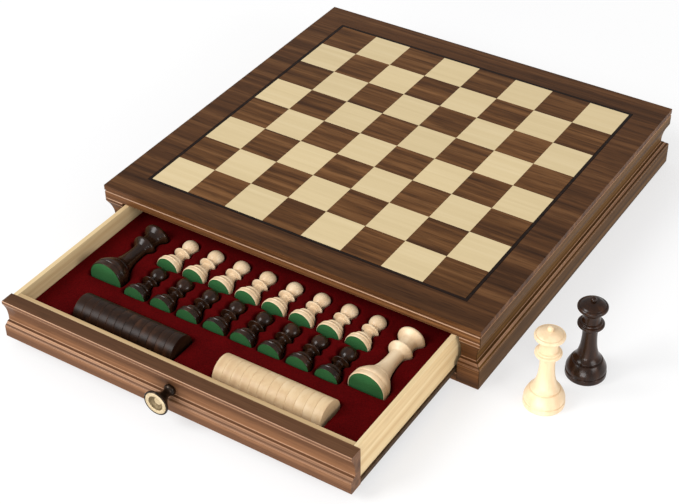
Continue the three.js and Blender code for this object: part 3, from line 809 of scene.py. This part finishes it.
def king_mesh(name, material):
    top = KING_TURNED
    body = lathe(name, king_line(top), material, 56)
    arms = []
    for x, z0, z1 in ((1.35, top - 0.6, KING_HEIGHT), (3.2, top + 3.9, top + 6.5)):
        arms.append(block(-x, x, -1.3, 1.3, z0, z1))
    cross = joined(name + "_cross", material, *arms)
    cross = applied(cross, ("BEVEL", {"width": 0.35 * MM, "segments": 2}))
    bm = bmesh.new()
    bm.from_mesh(body)
    bm.from_mesh(cross)
    bm.to_mesh(body)
    bm.free()
    return body


def cut_mesh(name, mesh, material, *tools):
    """mesh less each tool, which is a (vertices, faces, matrix) block."""
    for vertices, faces, matrix in tools:
        tool = cutter("tool", vertices, faces)
        tool.data.transform(matrix)
        change = ("BOOLEAN", {"operation": "DIFFERENCE", "object": tool, "solver": "EXACT"})
        mesh = applied(mesh, change)
        bpy.data.objects.remove(tool)
    return finish_mesh(name, mesh, material)


def bishop_mesh(name, material):
    body = lathe(name, bishop_line(), material, 48)
    vertices, faces = block(0, 20, -20, 20, -0.8, 0.8)
    tilt = Matrix.Translation((1.1 * MM, 0, 51.5 * MM)) @ Matrix.Rotation(-math.pi / 4, 4, "Y")
    return cut_mesh(name, body, material, (vertices, faces, tilt))


def rook_mesh(name, material):
    body = lathe(name, rook_line(), material, 48)
    vertices, faces = block(-20, 20, -1.7, 1.7, 41.4, 47)
    tools = [(vertices, faces, Matrix.Rotation(math.pi * k / 3, 4, "Z")) for k in range(3)]
    return cut_mesh(name, body, material, *tools)


def bezier(points, steps=8):
    """Points of a cubic through four corners, without its first."""
    a, b, c, d = (np.array(p, float) for p in points)
    out = []
    for k in range(1, steps + 1):
        t = k / steps
        out.append(tuple((1 - t) ** 3 * a + 3 * t * (1 - t) ** 2 * b + 3 * t * t * (1 - t) * c + t**3 * d))
    return out


def knight_mesh(name, material):
    """A horse's head, carved round, on a turned base."""
    outline = [(-8.8, 15.0)]
    outline += bezier([outline[-1], (-12.0, 30.0), (-9.0, 47.0), (-2.0, 50.4)])
    outline += [(-0.6, 53.6), (1.6, 50.2)]
    outline += bezier([outline[-1], (5.0, 48.0), (9.0, 43.5), (12.4, 37.2)])
    outline += [(12.6, 34.6), (11.0, 32.0), (8.0, 31.4)]
    outline += bezier([outline[-1], (4.6, 33.0), (2.6, 33.4), (1.2, 31.8)])
    outline += bezier([outline[-1], (3.6, 27.0), (7.6, 22.0), (8.0, 15.0)])
    parts = []
    for half, inset in ((6.2, 1.6), (5.0, 0.6), (3.6, 0.0)):
        middle = np.array((0.0, 32.0))
        ring = [middle + (np.array(p) - middle) * (1 - inset / 14) for p in outline]
        vertices = [(a, -half, b) for a, b in ring] + [(a, half, b) for a, b in ring]
        parts.append((vertices, prism_faces(len(ring))))
    body = joined(name, material, *parts)
    base_line = foot(FOOT_RADIUS["knight"], 3.6, 6.2) + [
        (12.4, 8.6, 1.0),
        (10.4, 10.2, 0.4),
        (10.6, 11.4, 0.4),
        (9.4, 13.6, 0.8),
        (9.2, 17.0, 0.8),
        (0, 17.6),
    ]
    base = lathe(name + "_base", rounded(base_line), material, 48)
    both = bpy.data.meshes.new(name)
    bm = bmesh.new()
    bm.from_mesh(body)
    bm.from_mesh(base)
    bm.to_mesh(both)
    bm.free()
    solid = applied(
        both,
        ("REMESH", {"mode": "VOXEL", "voxel_size": 0.55 * MM}),
        ("SMOOTH", {"iterations": 6, "factor": 0.5}),
    )
    return finish_mesh(name, solid, material, 60.0)


LYING = Matrix.Rotation(-math.pi / 2, 4, "X")
makers = {
    "pawn": lambda n, m: lathe(n, pawn_line(), m, 48),
    "queen": lambda n, m: lathe(n, queen_line(), m, 72),
    "king": king_mesh,
    "bishop": bishop_mesh,
    "knight": knight_mesh,
    "rook": rook_mesh,
}
meshes = {}
for kind, make in makers.items():
    reach = FOOT_RADIUS[kind] * FELT_SHARE
    disc = [(0, 0.02), (reach, 0.02, 0.1), (reach, FELT - 0.02), (0, FELT - 0.02)]
    meshes[kind] = {
        "light": make("light_" + kind, pale_wood),
        "dark": make("dark_" + kind, ebony),
        "felt": lathe("felt_" + kind, rounded(disc), felt, 40),
    }


def heads_to_front(node):
    """Whether a man lies with its head to the drawer's front, as the back row of the light men does."""
    return node.startswith("light_") and frame["nodes"][node]["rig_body"] == "drawer"


def turned_piece(node):
    """Stands the fine shape of a man in for its CAD node, lying or standing as the node does.

    A plain round man is spun about its axis by its name, so that no two show the same grain."""
    low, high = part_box(node)
    body = frame["nodes"][node]["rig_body"]
    tone, kind = node.split("_")[:2]
    middle = (low + high) / 2 / MM
    if high.z - low.z > high.y - low.y:
        place = Matrix.Translation((middle.x, middle.y, low.z / MM))
    elif heads_to_front(node):
        place = Matrix.Translation((middle.x, high.y / MM, middle.z)) @ LYING.inverted()
    else:
        place = Matrix.Translation((middle.x, low.y / MM, middle.z)) @ LYING
    letters = len(node) + sum(map(ord, node))
    spin = Matrix.Rotation(SPIN * letters if kind in ("pawn", "queen") else 0.0, 4, "Z")
    put(node + "_man", meshes[kind][tone], body, (node,), place @ spin)
    put(node + "_felt", meshes[kind]["felt"], body, (), place)


men = [n for n in frame["nodes"] if n.split("_")[0] in ("light", "dark") and n.split("_")[1] in makers]
for node in men:
    turned_piece(node)


# ---- draughts ------------------------------------------------------------------------------------
DISCS = 12
DISC_TURN = 0.31  # radians from each draught's grain to the next one's
RIM_RADIUS = DRAUGHT_RADIUS - 0.05


def draught_mesh(name, thickness, material):
    """One draught about X: eased rim, a raised ring and a dished middle on each face."""
    half = thickness / 2 - 0.02
    face = [(0, half - 0.3), (7.8, half - 0.3, 0.3), (8.4, half, 0.3), (RIM_RADIUS, half, 0.3)]
    upper = rounded(face + [(RIM_RADIUS, 0)])
    line = [(r, -h) for r, h in upper[:-1]] + [(r, h) for r, h in reversed(upper)]
    mesh = lathe(name, line, material, 56)
    mesh.transform(Matrix.Rotation(math.pi / 2, 4, "Y"))
    return mesh


for tone, material in (("light", pale_disc), ("dark", ebony_disc)):
    low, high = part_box(tone + "_draughts")
    thickness = (high.x - low.x) / MM / DISCS
    mesh = draught_mesh(tone + "_draught", thickness, material)
    centre = (low + high) / 2 / MM
    for k in range(DISCS):
        x = low.x / MM + thickness * (k + 0.5)
        place = Matrix.Translation((x, centre.y, centre.z)) @ Matrix.Rotation(DISC_TURN * k, 4, "X")
        stands_for = (tone + "_draughts",) if k == 0 else ()
        put(f"{tone}_draught_{k + 1}", mesh, tone + "_draughts", stands_for, place)


# ---- flocked insert ------------------------------------------------------------------------------
INSERT_STEP = 1.0
HOLLOW_CLEARANCE = 0.9
INSERT_FLOOR = 0.15
HOLLOW_REACH = 84.0  # past the longest man
SOFTENINGS = 2


def radius_at(line, heights, reach=1.0):
    """Largest radius of a turned line near each height, so that a recess can be lifted out of."""
    radii = np.zeros_like(heights)
    samples = []
    for (r0, h0), (r1, h1) in zip(line, line[1:]):
        for t in np.linspace(0, 1, 6):
            samples.append((r0 + (r1 - r0) * t, h0 + (h1 - h0) * t))
    radius, height = np.array(samples).T
    for k, h in enumerate(heights):
        near = np.abs(height - h) <= reach
        radii[k] = radius[near].max() if near.any() else 0.0
    return radii


def insert_mesh():
    """The insert as a height field: flat, with a soft-edged hollow under each piece."""
    low, high = (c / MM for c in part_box("insert"))
    xs = np.linspace(low.x, high.x, int((high.x - low.x) / INSERT_STEP) + 1)
    ys = np.linspace(low.y, high.y, int((high.y - low.y) / INSERT_STEP) + 1)
    top = high.z
    z = np.full((len(ys), len(xs)), top)
    lines = {
        "pawn": pawn_line(),
        "queen": queen_line(),
        "king": king_line(KING_TURNED) + [(3.6, KING_HEIGHT)],
        "bishop": bishop_line(),
        "knight": [(FOOT_RADIUS["knight"], 0), (FOOT_RADIUS["knight"], 54)],
        "rook": rook_line(),
    }
    hollows = []
    for node in men:
        a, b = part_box(node)
        if b.z - a.z < b.y - a.y:
            kind = node.split("_")[1]
            way = -1 if heads_to_front(node) else 1
            foot_y = (a.y if way > 0 else b.y) / MM
            hollows.append((kind, (a.x + b.x) / 2 / MM, foot_y, (a.z + b.z) / 2 / MM, way))
            if kind == "king":
                hollows.append(("queen", -(a.x + b.x) / 2 / MM, foot_y, (a.z + b.z) / 2 / MM, way))
    for kind, x0, y0, axis, way in hollows:
        heights = np.arange(-HOLLOW_CLEARANCE, HOLLOW_REACH, INSERT_STEP / 2)
        radii = radius_at(lines[kind], heights)
        radii[radii > 0] += HOLLOW_CLEARANCE
        for j, y in enumerate(ys):
            r = np.interp((y - y0) * way, heights, radii, left=0.0, right=0.0)
            if r <= 0:
                continue
            inside = np.abs(xs - x0) < r
            depth = axis - np.sqrt(r * r - (xs[inside] - x0) ** 2)
            z[j, inside] = np.minimum(z[j, inside], depth)
    for tone in ("light", "dark"):
        a, b = (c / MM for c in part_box(tone + "_draughts"))
        centre_y, axis, r = (a.y + b.y) / 2, (a.z + b.z) / 2, DRAUGHT_RADIUS + HOLLOW_CLEARANCE
        columns = (xs > a.x - HOLLOW_CLEARANCE) & (xs < b.x + HOLLOW_CLEARANCE)
        for j, y in enumerate(ys):
            if abs(y - centre_y) < r:
                depth = axis - math.sqrt(r * r - (y - centre_y) ** 2)
                z[j, columns] = np.minimum(z[j, columns], depth)
    z = np.clip(z, low.z + INSERT_FLOOR, top)
    kernel = np.array((0.25, 0.5, 0.25))
    for _ in range(SOFTENINGS):
        padded = np.pad(z, 1, mode="edge")
        rows = sum(kernel[k] * padded[k : k + z.shape[0], 1:-1] for k in range(3))
        padded = np.pad(rows, 1, mode="edge")
        z = sum(kernel[k] * padded[1:-1, k : k + z.shape[1]] for k in range(3))
    ny, nx = z.shape
    vertices = [(x, y, z[j, i]) for j, y in enumerate(ys) for i, x in enumerate(xs)]
    faces = [
        (j * nx + i, j * nx + i + 1, (j + 1) * nx + i + 1, (j + 1) * nx + i)
        for j in range(ny - 1)
        for i in range(nx - 1)
    ]
    rim = [(0, i) for i in range(nx)] + [(j, nx - 1) for j in range(1, ny)]
    rim += [(ny - 1, i) for i in range(nx - 2, -1, -1)] + [(j, 0) for j in range(ny - 2, 0, -1)]
    base = len(vertices)
    vertices += [(xs[i], ys[j], low.z) for j, i in rim]
    count = len(rim)
    for k in range(count):
        after = (k + 1) % count
        (j0, i0), (j1, i1) = rim[k], rim[after]
        faces.append((j1 * nx + i1, j0 * nx + i0, base + k, base + after))
    faces.append(tuple(base + k for k in reversed(range(count))))
    return mesh_of("flocked_insert", vertices, faces, velvet, 75.0)


put("flocked_insert", insert_mesh(), "drawer", ("insert",))

# ---- camera, floor and light ---------------------------------------------------------------------
CAMERA_PLACE = (0.56574, -0.96581, 0.81092)
CAMERA_AIM = Vector((-0.00161, -0.09223, 0.0))
CAMERA_ROLL = -0.767
FOCAL_LENGTH = 81.4
LAMP_AIM = Vector((0, -0.05, 0))
FLOOR_SIDE = 6000.0
FLOOR_HEIGHT = -0.05

camera = bpy.data.objects.new("camera", bpy.data.cameras.new("camera"))
bpy.context.scene.collection.objects.link(camera)
camera.data.sensor_width = 36.0
camera.data.lens = FOCAL_LENGTH
camera.data.clip_end = 20.0
camera.location = CAMERA_PLACE
aim = CAMERA_AIM - camera.location
camera.rotation_mode = "QUATERNION"
camera.rotation_quaternion = aim.to_track_quat("-Z", "Y") @ Quaternion((0, 0, 1), math.radians(CAMERA_ROLL))
bpy.context.scene.camera = camera

floor_shader = Shader("floor", 0.7)
mottle = floor_shader.noise(floor_shader.stretch((3, 3, 3)), 2.0, 0.5)
floor_tones = [(0.3, linear((172, 172, 173))), (0.7, linear((175, 175, 175)))]
floor_shader.colour(floor_shader.ramp(mottle, floor_tones))
floor_shader.bsdf.inputs["Specular IOR Level"].default_value = 0.1
floor_shader.bsdf.inputs["Emission Color"].default_value = (1.0, 1.0, 1.0, 1.0)
floor_shader.bsdf.inputs["Emission Strength"].default_value = 0.6
around = ((-1, -1), (1, -1), (1, 1), (-1, 1))
floor_corners = [(x * FLOOR_SIDE, y * FLOOR_SIDE, FLOOR_HEIGHT) for x, y in around]
floor_mesh = mesh_of("floor", floor_corners, [(0, 1, 2, 3)], floor_shader.material)
floor = bpy.data.objects.new("floor", floor_mesh)
bpy.context.scene.collection.objects.link(floor)

world = bpy.data.worlds.new("studio")
world.use_nodes = True
world.node_tree.nodes["Background"].inputs["Color"].default_value = (1.0, 1.0, 1.0, 1.0)
world.node_tree.nodes["Background"].inputs["Strength"].default_value = 0.55
bpy.context.scene.world = world


def lamp(name, place, width, height, power):
    light = bpy.data.lights.new(name, "AREA")
    light.shape = "RECTANGLE"
    light.size = width
    light.size_y = height
    light.energy = power
    obj = bpy.data.objects.new(name, light)
    obj.location = place
    obj.rotation_mode = "QUATERNION"
    obj.rotation_quaternion = (LAMP_AIM - Vector(place)).to_track_quat("-Z", "Y")
    bpy.context.scene.collection.objects.link(obj)


lamp("key", (-1.9, -2.7, 2.5), 1.8, 1.8, 98.0)
lamp("front", (0.3, -3.2, 0.3), 2.4, 0.5, 52.0)
lamp("side", (2.6, -0.7, 1.0), 1.4, 0.8, 22.0)

bpy.context.scene.view_settings.view_transform = "Standard"
